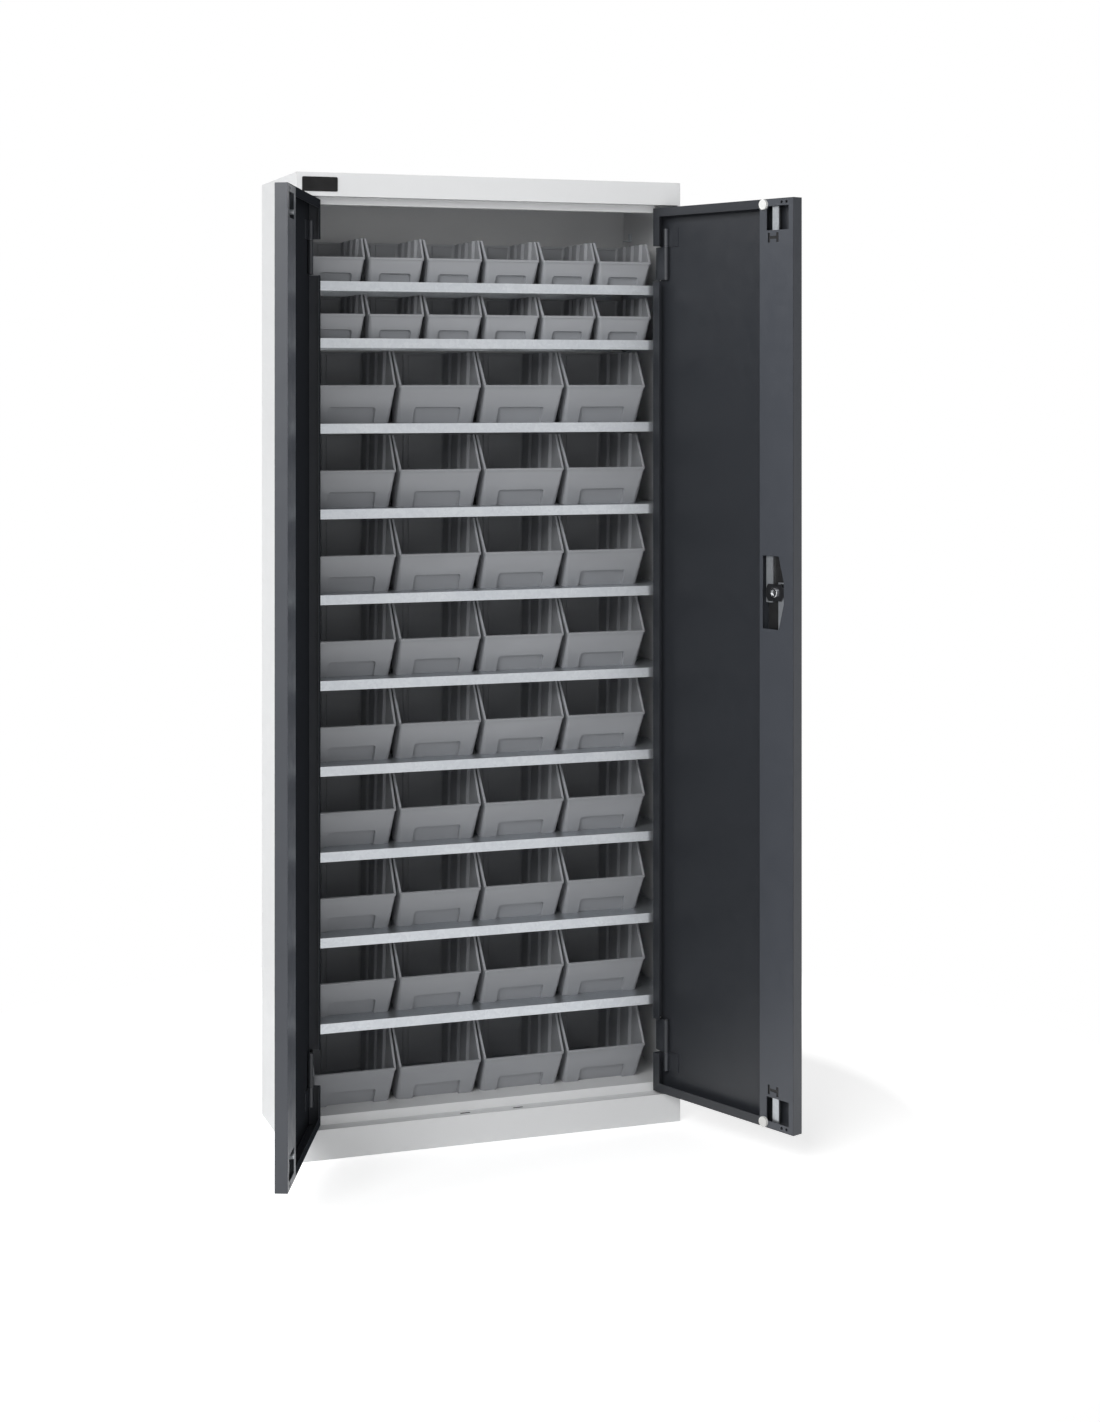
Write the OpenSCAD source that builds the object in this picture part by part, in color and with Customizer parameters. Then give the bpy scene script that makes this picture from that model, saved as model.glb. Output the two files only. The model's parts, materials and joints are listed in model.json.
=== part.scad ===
// Parts bin cabinet: a sheet steel carcass with ten shelves, two hinged doors with rod bolts,
// and forty-eight open-front bins.  Millimetres.  +X right, +Y to the back, +Z up.
// The origin is on the floor, in the middle of the plinth's foot flange.  The doors stand open.

/* [Large bins] */
// Width that one large bin takes in its row
large_pitch_x = 150; // [120:1:180]
// Length of a large bin, front lip to back
large_d = 228; // [180:1:300]
// Height of a large bin
large_h = 122; // [100:1:160]
// Height of the front lip of a large bin
large_lip_h = 64; // [45:1:80]
// How far the foot of the front wall stands behind the lip
large_lean = 34; // [20:1:45]
// How far behind the lip the side walls reach full height
large_rise = 46; // [35:1:70]
// Width of the finger grip in the front wall
large_grip_w = 82; // [50:1:100]
// Height of the finger grip
large_grip_h = 27; // [15:1:35]
// Free space between the left stile and the row of large bins
large_left_gap = 8; // [1:0.5:20]

/* [Small bins] */
// Width that one small bin takes in its row
small_pitch_x = 103; // [90:1:125]
// Length of a small bin, front lip to back
small_d = 163; // [120:1:200]
// Height of a small bin
small_h = 74.5; // [60:0.5:100]
// Height of the front lip of a small bin
small_lip_h = 41; // [28:1:50]
// How far the foot of the front wall stands behind the lip
small_lean = 16; // [10:1:30]
// How far behind the lip the side walls reach full height
small_rise = 26; // [20:1:45]
// Width of the finger grip in the front wall
small_grip_w = 55; // [35:1:65]
// Height of the finger grip
small_grip_h = 15; // [8:0.5:20]
// Free space between the left stile and the row of small bins
small_left_gap = 1; // [0.5:0.5:5]

/* [All bins] */
// Free space between neighbouring bins
bin_gap = 2; // [1:0.5:5]
// Wall thickness
bin_wall = 2.2; // [1.5:0.1:3]
// How far the rim stands out from the walls
rim_out = 1.5; // [1:0.1:3]
// Height of the rim
rim_h = 4; // [2:0.5:7]
// How much narrower each side is at the foot than at the rim
bin_taper = 4; // [1:0.5:8]
// Depth of the finger grip
grip_depth = 5; // [1.5:0.5:6]
// How far the divider ribs stand in from the walls
rib_in = 1.5; // [0.6:0.1:2]
// Width of a divider rib
rib_w = 4; // [2:0.5:6]
// Free space between the last bin and the back panel
rear_gap = 8; // [3:1:30]
// How far the lips stand behind the front edge of the shelf
lip_set = 8; // [3:1:30]

/* [Shelves] */
// Height of the front and back folds of a shelf
shelf_fold = 16.3; // [10:0.1:30]
// Width of the return at the foot of the front fold
shelf_return = 12; // [6:1:20]
// Free space over a row of bins
head_gap = 4.5; // [2:0.5:20]
// Extra height of the row on the cabinet floor
floor_row_extra = 8.5; // [0:0.5:30]
// Free height over the bins of the top row
top_room = 64.5; // [30:0.5:150]
// Gap between a shelf and the sheets round it
shelf_clear = 1; // [0.5:0.1:3]
// Length of a shelf clip along the side
clip_len = 12; // [8:1:20]
// How far a clip reaches under the shelf
clip_reach = 11; // [6:1:16]
// Height of the clip's plate
clip_h = 15; // [10:1:25]
// Thickness of a clip
clip_t = 2; // [1:0.5:3]
// Distance of the rear clips from the back panel
clip_rear = 35; // [20:1:60]
// Distance of the front clips behind the front edge of the shelf
clip_front = 30; // [15:1:60]
// Distance of the spare clips below the fascia
spare_clip_drop = 48; // [30:1:60]

/* [Carcass] */
// Thickness of the steel sheet
sheet = 1; // [0.8:0.1:1.5]
// Width of a stile beside the door opening
stile_w = 25; // [20:1:40]
// Gap between the rows of bins and the inner edge of a stile
bay_clear = 6; // [2:1:12]
// Width of the narrow front edge of a side panel
side_lip = 4; // [3:0.5:4.5]
// Height of the fascia over the doors
fascia_h = 39; // [30:1:80]
// Height of the plinth under the doors
plinth_h = 50; // [30:1:100]
// How far the cabinet floor stands above the plinth's ledge
riser_h = 15; // [8:1:30]
// Height of the stop that the doors close against at the top
stop_h = 12; // [9:1:25]
// Width of the return at the foot of the top stop
stop_return = 18; // [8:1:30]
// Width of the plinth's foot flange
foot_w = 20; // [10:1:40]
// Distance of the wall-fixing holes below the roof
wall_hole_drop = 132; // [60:1:400]
// Distance between the two wall-fixing holes
wall_hole_spacing = 500; // [300:1:600]
// Radius of a wall-fixing hole
wall_hole_r = 4.5; // [3:0.1:6]
// Width of the blank badge plate
badge_w = 60; // [30:1:90]
// Height of the blank badge plate
badge_h = 24; // [12:1:28]
// Thickness of the badge plate
badge_t = 1.2; // [0.8:0.1:3]
// Corner radius of the badge plate
badge_r = 2.5; // [1:0.1:5]
// Distance of the badge from the cabinet's side
badge_in = 8.5; // [4:0.5:40]

/* [Doors] */
// Thickness of a door
door_t = 20; // [17:1:28]
// Gap between a door and the cabinet's side
door_side_gap = 6; // [5.5:0.5:10]
// Gap above a door
door_top_gap = 5; // [2:0.5:8]
// Gap below a door
door_foot_gap = 3; // [1.5:0.5:6]
// Gap between the two doors
meeting_gap = 3; // [2:0.5:8]
// Width of the lips round a door's inner face
door_lip = 15; // [10:1:22]
// Width of the stiffener beside the free edge
stiffener_w = 75; // [74:1:100]
// Angle at which the doors stand open
open_angle = 112; // [0:1:116]
// Radius of a white buffer
buffer_r = 8.5; // [6:0.5:10]
// Height of a buffer over the door's inner face
buffer_t = 4.7; // [2:0.1:8]
// Distance of a buffer's centre from the door's end
buffer_end = 9; // [8.5:0.5:14]
// Distance of a buffer's centre from the cabinet's middle
buffer_s = 67; // [45:1:75]
// Gap between a buffer and its stop
buffer_clear = 0.3; // [0.2:0.1:1]
// Radius of the small holes beside the buffers
small_hole_r = 2.5; // [1:0.1:3]
// Distance of the small holes from the door's end
small_hole_end = 6.5; // [5:0.5:10]
// Distance of the first small hole from the cabinet's middle
small_hole_s = 17; // [10:1:24]
// Distance between the two small holes
small_hole_pitch = 11; // [8:1:15]

/* [Hinges] */
// Distance of the pin's axis from the cabinet's side
pivot_in = 24; // [20:0.5:30]
// Distance of the pin's axis behind the door's front
pivot_back = 6; // [6:0.1:8]
// Gap between a turning door and the stiles and stops
sweep_clear = 1.2; // [0.8:0.1:3]
// Radius of a hinge pin
pin_r = 2.5; // [2:0.1:3]
// Radial clearance of a turning piece on its pin or in its bore
pin_clear = 0.05; // [0.02:0.01:0.1]
// Outer radius of the hinge barrels
knuckle_r = 4.6; // [4.2:0.1:4.6]
// Height of the barrel on the door
knuckle_h = 31; // [16:1:40]
// Height of the fixed barrel and its bracket
bracket_h = 57; // [30:1:80]
// Gap between the two barrels
knuckle_gap = 0.4; // [0.3:0.1:0.8]
// Distance of a door's barrel from the door's end
hinge_end = 36; // [20:1:100]
// Distance of the bracket's web inboard of the pin
bracket_in = 8; // [7:0.5:10]
// Thickness of the hinge plates
hinge_plate_t = 2; // [1.5:0.5:2.5]
// Length of the leaf on the door
leaf_len = 26; // [20:1:60]
// Gap round a hinge bracket in the door's notch
notch_clear = 1.5; // [1:0.5:10]
// Radius of a hinge screw's head
screw_head_r = 4; // [3:0.5:5]
// Radius of a hinge screw's shank
screw_r = 2; // [1.5:0.1:2.5]
// Height of a hinge screw's head
screw_head_h = 2; // [1.5:0.1:2.5]
// Distance of the hinge screws from the cabinet's side
screw_in = 12; // [10:0.5:13]

/* [Rods and lock] */
// Distance of the rods from the cabinet's middle
rod_s = 47; // [40:1:52]
// Width of a rod
rod_w = 14; // [10:1:16]
// Thickness of a rod
rod_t = 3; // [2:0.5:3.5]
// Depth of the rods behind the door's front
rod_y = 11; // [10.8:0.1:11.5]
// Distance of a drawn-in rod's tip from the door's end
rod_tip = 8; // [5:0.5:10]
// Gap between a rod and its guides
rod_clear = 0.6; // [0.4:0.1:1]
// How much wider and deeper than the rods their slots are
slot_extra = 4; // [3:0.5:8]
// Height of the lock's spindle above the floor
lock_z = 938; // [700:1:1200]
// Radius at which the rods are pinned to the cam
cam_r = 16; // [15:0.5:17]
// Radius of a cam pin
cam_pin_r = 2.5; // [2:0.1:3]
// Radius of the cam plate
cam_plate_r = 20; // [18:0.5:22]
// Thickness of the cam
cam_t = 2; // [1.5:0.1:2.5]
// Width of the metal round a rod's slot
rod_rim = 2; // [1.5:0.5:3]
// Length of a rod beside the lock, before it bends in line
crank_from = 62; // [30:1:100]
// Length of that bend
crank_len = 16; // [10:1:30]
// Radius of the spindle
spindle_r = 5.5; // [4:0.1:5.6]
// Radius of the round nut on the spindle
nut_r = 8.3; // [6.5:0.1:9]
// Height of the nut
nut_t = 4; // [2:0.5:5]
// Width of the lock opening in the stiffener
lock_open_w = 48; // [44:1:52]
// Height of the lock opening
lock_open_h = 121; // [90:1:150]
// Width of the lock opening at its ends
lock_open_end_w = 36.5; // [34:0.5:44]
// Height over which the lock opening has its full width
lock_open_mid_h = 36; // [20:1:60]
// Width of the handle's plate and of the lock's case
plate_w = 36; // [30:1:42]
// Length of the handle's plate above the spindle
plate_up = 60; // [54:1:80]
// Length of the handle's plate below the spindle
plate_down = 100; // [95:1:120]
// Thickness of the handle's plate
plate_t = 4; // [3:0.5:6]
// Corner radius of the handle's plate
plate_r = 5; // [2:0.5:8]
// Length of the handle's lever
lever_len = 95; // [70:1:110]
// Width of the lever at the spindle
lever_w = 22; // [18:1:26]
// Width of the lever at its tip
lever_tip_w = 16; // [10:1:20]
// Thickness of the lever
lever_t = 9; // [6:0.5:12]
// Gap between the lever and its plate
lever_gap = 0.5; // [0.3:0.1:2]
// Height of the key cylinder above the spindle
key_up = 36; // [30:1:45]
// Radius of the key cylinder
key_r = 8; // [6:0.5:10]
// How far the key cylinder stands out of the handle's plate
key_out = 2; // [1:0.5:5]
// Width of the key slot
key_slot_w = 2; // [1:0.5:3]

/* [Stiffener openings] */
// Width of a window
window_w = 50; // [36:1:54]
// Height of a window
window_h = 40; // [36:1:60]
// Distance of a window's middle from the cabinet's middle
window_s = 37; // [35:1:40]
// Distance of a window from the door's end
window_end = 12; // [10:1:30]
// Width of an H-shaped hole
guide_w = 24; // [20:1:28]
// Height of an H-shaped hole and of the guide behind it
guide_h = 16; // [10:1:24]
// Width of the bars of the H
guide_bar = 5; // [3:0.5:6]
// Distance between a window and the H-shaped hole
guide_gap = 4; // [3:1:20]
// Thickness of a guide's walls
guide_wall = 3; // [2:0.5:3.5]

/* [Hand bolts] */
// Length of a hand bolt
bolt_len = 96; // [85:1:130]
// Distance of the stud from the bolt's tip
stud_from_tip = 34; // [30:1:36]
// Radius of the stud
stud_r = 4; // [3:0.5:5]
// How far the stud stands out of the door's inner face
stud_out = 2; // [1:0.5:3]

/* [Hidden] */
$fn = 48;

// Rows, counted from the top
rows = 11;
small_rows = 2;
shelves = rows - 1;
large_per_row = 4;
small_per_row = 6;

// A cut runs past the faces of what it cuts by this much
past = 1;

// Plan of the cabinet
bay_w = max(large_per_row * large_pitch_x, small_per_row * small_pitch_x);
stile_x = bay_w / 2 + bay_clear;
half_w = stile_x + stile_w;
inner_x = half_w - sheet;
bay_x = stile_x - shelf_clear;
pivot_x = half_w - pivot_in;
hinge_edge_s = half_w - door_side_gap;
sweep_r = norm([pivot_in - door_side_gap, door_t - pivot_back]);
stile_set = pivot_back + sweep_r + sweep_clear;
stop_set = door_t + buffer_t + buffer_clear;
cab_d = stile_set + lip_set + max(large_d, small_d) + rear_gap + sheet;
front_y = -foot_w / 2;
back_y = front_y + cab_d;
stile_y = front_y + stile_set;
stop_y = front_y + stop_set;
lip_y = stile_y + lip_set;
rear_y = back_y - sheet;
pivot_y = front_y + pivot_back;
// The stops end short of the circle that a door's rear corner turns on
stop_x = pivot_x - sweep_clear - sqrt(max(0, pow(sweep_r, 2) - pow(stop_y - pivot_y, 2)));

// Heights
floor_z = plinth_h + riser_h;
large_pitch_z = large_h + shelf_fold + head_gap;
small_pitch_z = small_h + shelf_fold + head_gap;
last_shelf_z = floor_z + large_pitch_z + floor_row_extra;
small_shelf_z = last_shelf_z + (shelves - small_rows) * large_pitch_z;
fascia_z = small_shelf_z + (small_rows - 1) * small_pitch_z + small_h + top_room;
cab_h = fascia_z + fascia_h;
door_z0 = plinth_h + door_foot_gap;
door_z1 = fascia_z - door_top_gap;

// Doors, measured as s from the cabinet's middle and y behind the front
free_edge_s = meeting_gap / 2;
stiffener_s = free_edge_s + sheet + stiffener_w;
door_y = front_y + door_t;
knuckle_z = door_z0 + hinge_end;
bracket_z = knuckle_z + knuckle_h + knuckle_gap;
guide_end = window_end + window_h + guide_gap + guide_h / 2;

// The cam's pins stand at 45 degrees at rest, so that a quarter turn moves the rods straight.
// Their height strays from an even travel by up to this share of their radius.
pin_stray = 0.03;
cam_rest = 45;
cam_x = cam_r * cos(cam_rest);
cam_y = rod_y + rod_t + rod_clear;
slot_half_s = (cam_r - cam_x) / 2 + cam_pin_r + rod_clear;
slot_half_z = cam_pin_r + rod_clear + pin_stray * cam_r;

// Top of shelf k
function shelf_z(k) = k >= small_rows
    ? last_shelf_z + (shelves - k) * large_pitch_z
    : small_shelf_z + (small_rows - k) * small_pitch_z;

// What row k stands on
function row_z(k) = k > shelves ? floor_z : shelf_z(k);

// ---- Helpers

// A box from its lowest to its highest corner
module box(low, high) {
    translate(low) cube(high - low);
}

// A profile drawn in Y and Z, drawn out from x0 to x1
module along_x(x0, x1) {
    translate([x0, 0, 0]) rotate([90, 0, 90]) linear_extrude(x1 - x0) children();
}

// A profile drawn in X and Z, drawn out from y0 to y1
module along_y(y0, y1) {
    translate([0, y1, 0]) rotate([90, 0, 0]) linear_extrude(y1 - y0) children();
}

// A round bar along Y
module bar_y(r, s, z, y0, y1) {
    translate([s, y0, z]) rotate([-90, 0, 0]) cylinder(r = r, h = y1 - y0);
}

// The piece and its mirror image on the other side of the cabinet
module both_sides() {
    for (side = [0, 1]) mirror([side, 0, 0]) children();
}

// The piece at a door's foot and its mirror image at the door's head
module both_ends() {
    children();
    translate([0, 0, door_z0 + door_z1]) mirror([0, 0, 1]) children();
}

// Turns a closed right door's piece to its open place
module right_open() {
    translate([pivot_x, pivot_y, 0]) rotate([0, 0, open_angle])
        translate([-pivot_x, -pivot_y, 0]) children();
}

module left_open() {
    mirror([1, 0, 0]) right_open() children();
}

// ---- Carcass

module side_panel() {
    lip_x = half_w - side_lip;
    color("gainsboro") difference() {
        union() {
            box([inner_x, front_y, 0], [half_w, back_y, cab_h]);
            // The folds between plinth and fascia: lip, return and stile
            translate([0, 0, plinth_h]) linear_extrude(fascia_z - plinth_h) polygon([
                [half_w, back_y], [half_w, front_y], [lip_x, front_y], [lip_x, stile_y],
                [stile_x, stile_y], [stile_x, stile_y + sheet], [lip_x + sheet, stile_y + sheet],
                [lip_x + sheet, front_y + sheet], [inner_x, front_y + sheet], [inner_x, back_y]
            ]);
        }
        both_ends() screws(screw_r, stile_y - past, stile_y + sheet + past);
    }
}

module left_side() {
    mirror([1, 0, 0]) side_panel();
}

module right_side() {
    side_panel();
}

module back_panel() {
    color("gainsboro") difference() {
        box([-inner_x, rear_y, 0], [inner_x, back_y, cab_h - sheet]);
        both_sides() bar_y(wall_hole_r, wall_hole_spacing / 2,
            cab_h - wall_hole_drop, rear_y - past, back_y + past);
    }
}

// The slot that a right-hand rod passes in a sheet at height z
module rod_slot(z) {
    slot_w = rod_w + slot_extra;
    y0 = front_y + rod_y - slot_extra / 2;
    y1 = front_y + rod_y + rod_t + slot_extra / 2;
    box([rod_s - slot_w / 2, y0, z - sheet - past], [rod_s + slot_w / 2, y1, z + sheet + past]);
}

module roof_fascia() {
    stop_z = fascia_z - stop_h;
    stop_back = stop_y + stop_return;
    color("whitesmoke") difference() {
        union() {
            along_x(-inner_x, inner_x) polygon([
                [back_y, cab_h], [front_y, cab_h], [front_y, fascia_z], [stop_y + sheet, fascia_z],
                [stop_y + sheet, fascia_z + sheet], [front_y + sheet, fascia_z + sheet],
                [front_y + sheet, cab_h - sheet], [back_y, cab_h - sheet]
            ]);
            along_x(-stop_x, stop_x) polygon([
                [stop_y, fascia_z + sheet], [stop_y, stop_z], [stop_back, stop_z],
                [stop_back, stop_z + sheet], [stop_y + sheet, stop_z + sheet],
                [stop_y + sheet, fascia_z + sheet]
            ]);
        }
        both_sides() rod_slot(fascia_z);
    }
}

module plinth() {
    ledge_y = stop_y + sheet;
    color("gainsboro") difference() {
        along_x(-inner_x, inner_x) polygon([
            [front_y + foot_w, 0], [front_y, 0], [front_y, plinth_h], [ledge_y, plinth_h],
            [ledge_y, plinth_h - sheet], [front_y + sheet, plinth_h - sheet],
            [front_y + sheet, sheet], [front_y + foot_w, sheet]
        ]);
        both_sides() rod_slot(plinth_h);
    }
}

// The floor with its front riser, its set-back front corners and its rear leg
module floor_panel() {
    stile_back = stile_y + sheet;
    color("gainsboro") {
        along_x(-stop_x, stop_x) polygon([
            [rear_y, floor_z], [stop_y, floor_z], [stop_y, plinth_h], [stop_y + sheet, plinth_h],
            [stop_y + sheet, floor_z - sheet], [rear_y, floor_z - sheet]
        ]);
        along_x(-inner_x, inner_x) polygon([
            [stile_back, floor_z], [rear_y, floor_z], [rear_y, 0], [rear_y - sheet, 0],
            [rear_y - sheet, floor_z - sheet], [stile_back, floor_z - sheet]
        ]);
    }
}

module blank_badge() {
    x0 = -half_w + badge_in;
    z0 = fascia_z + (fascia_h - badge_h) / 2;
    color("black") along_y(front_y - badge_t, front_y) hull()
        for (x = [badge_r, badge_w - badge_r], z = [badge_r, badge_h - badge_r])
            translate([x0 + x, z0 + z]) circle(r = badge_r, $fn = 32);
}

// ---- Shelves and their clips

module shelf(k) {
    y1 = rear_y - shelf_clear;
    side_y = stile_y + sheet + shelf_clear;
    wide = inner_x - clip_t - shelf_clear;
    color("silver") translate([0, 0, shelf_z(k)]) {
        along_x(-bay_x, bay_x) polygon([
            [y1, 0], [stile_y, 0], [stile_y, -shelf_fold], [stile_y + shelf_return, -shelf_fold],
            [stile_y + shelf_return, sheet - shelf_fold], [stile_y + sheet, sheet - shelf_fold],
            [stile_y + sheet, -sheet], [y1 - sheet, -sheet], [y1 - sheet, -shelf_fold],
            [y1, -shelf_fold]
        ]);
        both_sides() along_y(side_y, y1) polygon([
            [bay_x, 0], [wide, 0], [wide, -shelf_fold], [wide - sheet, -shelf_fold],
            [wide - sheet, -sheet], [bay_x, -sheet]
        ]);
    }
}

// One clip on the right side, with its tongue's top at height z and its middle at y
module clip(y, z) {
    plate_x = inner_x - clip_t;
    along_y(y - clip_len / 2, y + clip_len / 2) polygon([
        [inner_x, z - clip_t], [inner_x, z - clip_t + clip_h], [plate_x, z - clip_t + clip_h],
        [plate_x, z], [plate_x - clip_reach, z], [plate_x - clip_reach, z - clip_t]
    ]);
}

module shelf_clips() {
    rear = rear_y - clip_rear;
    color("silver") {
        for (k = [1 : shelves], y = [stile_y + clip_front, rear]) clip(y, shelf_z(k) - shelf_fold);
        clip(rear, fascia_z - spare_clip_drop);
    }
}

module left_shelf_clips() {
    mirror([1, 0, 0]) shelf_clips();
}

module right_shelf_clips() {
    shelf_clips();
}

// ---- Bins

// One open-front bin, its lip's middle at x = 0, y = 0 and its foot at z = 0
module bin(pitch, d, h, lip_h, lean, rise, grip_w, grip_h) {
    half = (pitch - bin_gap) / 2;
    body = half - rim_out;
    slope = lean / lip_h;
    wall_y = bin_wall * sqrt(1 + slope * slope);
    in_top = body - bin_wall;
    in_foot = in_top - bin_taper;
    back = d - bin_wall;
    wall_top = h - rim_h;
    difference() {
        union() {
            // Walls and floor
            intersection() {
                along_x(-half, half) polygon([[lean, 0], [d, 0], [d, h], [rise, h], [0, lip_h]]);
                along_y(-past, d + past) polygon([
                    [-body + bin_taper, 0], [body - bin_taper, 0], [body, h], [-body, h]
                ]);
            }
            // Rim
            along_x(-half, half) polygon([
                [d, h], [rise, h], [-rim_out, lip_h], [-rim_out, lip_h - rim_h],
                [rim_out + rim_h * slope, lip_h - rim_h], [rise + rim_h, wall_top], [d, wall_top]
            ]);
        }
        // Inside, with divider ribs left on the walls
        difference() {
            intersection() {
                along_x(-half, half) polygon([
                    [lean - bin_wall * slope + wall_y, bin_wall], [back, bin_wall],
                    [back, h + past], [-rim_out - past, h + past], [-rim_out - past, lip_h],
                    [wall_y, lip_h]
                ]);
                along_y(-rim_out - past - past, d) polygon([
                    [-in_foot, 0], [in_foot, 0], [in_top, h], [in_top, h + past],
                    [-in_top, h + past], [-in_top, h]
                ]);
            }
            for (part = [0.2, 0.5, 0.8], side = [0, 1])
                translate([0, rise + part * (d - rise), 0]) mirror([side, 0, 0])
                    along_y(0, rib_w) polygon([
                        [in_foot - rib_in, 0], [in_foot + past, 0], [in_top + past, wall_top],
                        [in_top - rib_in, wall_top]
                    ]);
            // The wall behind the finger grip
            along_x(-grip_w / 2 - bin_wall, grip_w / 2 + bin_wall) polygon([
                [0, 0], [lean + wall_y + grip_depth, 0],
                [lean - slope * (grip_h + bin_wall) + wall_y + grip_depth, grip_h + bin_wall],
                [0, grip_h + bin_wall]
            ]);
        }
        // Finger grip, open at the foot
        along_x(-grip_w / 2, grip_w / 2) polygon([
            [-past, -past], [lean + slope * past + grip_depth, -past],
            [lean - slope * grip_h + grip_depth, grip_h], [-past, grip_h]
        ]);
    }
}

// The large bins of row k with the given places, counted from the left
module large_bins(k, places) {
    color("slategray") for (i = places)
        translate([(i - 0.5) * large_pitch_x + large_left_gap - stile_x, lip_y, row_z(k)])
            bin(large_pitch_x, large_d, large_h, large_lip_h, large_lean, large_rise,
                large_grip_w, large_grip_h);
}

module small_bins(k, places) {
    color("slategray") for (i = places)
        translate([(i - 0.5) * small_pitch_x + small_left_gap - stile_x, lip_y, row_z(k)])
            bin(small_pitch_x, small_d, small_h, small_lip_h, small_lean, small_rise,
                small_grip_w, small_grip_h);
}

// The bins of row k that come out straight between the open doors
module bins_row(k) {
    if (k > small_rows)
        large_bins(k, [2 : large_per_row]);
    else
        small_bins(k, [2 : small_per_row - 1]);
}

// The bins that stand behind an open door's hinge edge
module small_end_bins() {
    for (k = [1 : small_rows]) small_bins(k, [1, small_per_row]);
}

module large_end_bins() {
    for (k = [small_rows + 1 : rows]) large_bins(k, [1]);
}

// ---- Hinges

// The screws of the lower right bracket, as bars of radius r from y0 to y1
module screws(r, y0, y1) {
    for (part = [0.25, 0.75])
        bar_y(r, half_w - screw_in, bracket_z + part * bracket_h, y0, y1);
}

// The lower right bracket: a barrel, a web past the stile's edge and a plate behind the stile
module hinge_bracket() {
    web_x = pivot_x - bracket_in;
    barrel_x = pivot_x - knuckle_r;
    plate_x = half_w - side_lip;
    plate_y = stile_y + sheet;
    plate_back = plate_y + hinge_plate_t;
    difference() {
        translate([0, 0, bracket_z]) {
            translate([pivot_x, pivot_y, 0]) cylinder(r = knuckle_r, h = bracket_h);
            linear_extrude(bracket_h) polygon([
                [barrel_x, pivot_y], [barrel_x + hinge_plate_t, pivot_y],
                [web_x + hinge_plate_t, stop_y], [web_x + hinge_plate_t, plate_y],
                [plate_x, plate_y], [plate_x, plate_back], [web_x, plate_back], [web_x, stop_y]
            ]);
        }
        hinge_pin();
        screws(screw_r, plate_y - past, plate_back + past);
    }
}

module hinge_pin() {
    translate([pivot_x, pivot_y, knuckle_z])
        cylinder(r = pin_r, h = bracket_z + bracket_h - knuckle_z);
}

module hinge_brackets() {
    color("darkslategray") both_sides() both_ends() hinge_bracket();
}

module hinge_pins() {
    color("lightgray") both_sides() both_ends() hinge_pin();
}

module hinge_screws() {
    color("silver") both_sides() both_ends() {
        screws(screw_r, stile_y, stile_y + sheet + hinge_plate_t);
        screws(screw_head_r, stile_y - screw_head_h, stile_y);
    }
}

// ---- Doors, drawn closed on the right

module door_skin() {
    lip_y0 = door_y - sheet - past;
    color("darkslategray") difference() {
        box([free_edge_s, front_y, door_z0], [hinge_edge_s, door_y, door_z1]);
        box([free_edge_s + sheet, front_y + sheet, door_z0 + sheet],
            [hinge_edge_s - sheet, door_y - sheet, door_z1 - sheet]);
        // The inner face is open between the lips, and the stiffener fills its own place
        box([free_edge_s + sheet, lip_y0, door_z0 + door_lip],
            [hinge_edge_s - door_lip, door_y + past, door_z1 - door_lip]);
        box([free_edge_s + sheet, lip_y0, door_z0 + sheet],
            [stiffener_s, door_y + past, door_z1 - sheet]);
        both_ends() {
            rod_slot(door_z0);
            // The notch that lets the fixed bracket through
            box([hinge_edge_s - door_lip - past, front_y + sheet, bracket_z - notch_clear],
                [hinge_edge_s + past, door_y + past, bracket_z + bracket_h + notch_clear]);
        }
    }
}

// The stiffener channel with its openings at both ends, the H-shaped ones only when asked for
module door_stiffener(guide_holes) {
    s0 = free_edge_s + sheet;
    z0 = door_z0 + sheet;
    z1 = door_z1 - sheet;
    color("darkslategray") difference() {
        box([s0, front_y + sheet, z0], [stiffener_s, door_y, z1]);
        box([s0 + sheet, front_y + sheet - past, z0 - past],
            [stiffener_s - sheet, door_y - sheet, z1 + past]);
        both_ends() stiffener_openings(guide_holes);
    }
}

// A window, two small holes and an H-shaped guide hole beyond the window, at the door's foot
module stiffener_openings(guide_holes) {
    guide_z = door_z0 + guide_end;
    arm_s = (guide_w - guide_bar) / 2;
    along_y(door_y - sheet - past, door_y + past) {
        translate([window_s, door_z0 + window_end + window_h / 2])
            square([window_w, window_h], center = true);
        for (i = [0, 1])
            translate([small_hole_s + i * small_hole_pitch, door_z0 + small_hole_end])
                circle(r = small_hole_r);
        if (guide_holes) translate([rod_s, guide_z]) {
            square([guide_w, guide_bar], center = true);
            for (side = [-1, 1]) translate([side * arm_s, 0])
                square([guide_bar, guide_h], center = true);
        }
    }
}

// The plastic guides that keep the rods straight behind the stiffener's face
module rod_guides() {
    half_s = rod_w / 2 + rod_clear;
    y0 = front_y + rod_y - rod_clear;
    z = door_z0 + guide_end;
    color("dimgray") both_ends() difference() {
        box([rod_s - half_s - guide_wall, y0 - guide_wall, z - guide_h / 2],
            [rod_s + half_s + guide_wall, door_y - sheet, z + guide_h / 2]);
        box([rod_s - half_s, y0, z - guide_h / 2 - past],
            [rod_s + half_s, front_y + rod_y + rod_t + rod_clear, z + guide_h / 2 + past]);
    }
}

// The barrels and leaves that carry the door on its pins
module hinge_leaves() {
    y0 = front_y + sheet;
    color("darkslategray") both_ends() translate([0, 0, knuckle_z]) difference() {
        union() {
            translate([pivot_x, pivot_y, 0]) cylinder(r = knuckle_r, h = knuckle_h);
            box([pivot_x - leaf_len, y0, 0], [pivot_x, y0 + hinge_plate_t, knuckle_h]);
        }
        translate([pivot_x, pivot_y, -past])
            cylinder(r = pin_r + pin_clear, h = knuckle_h + past + past);
    }
}

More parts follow.
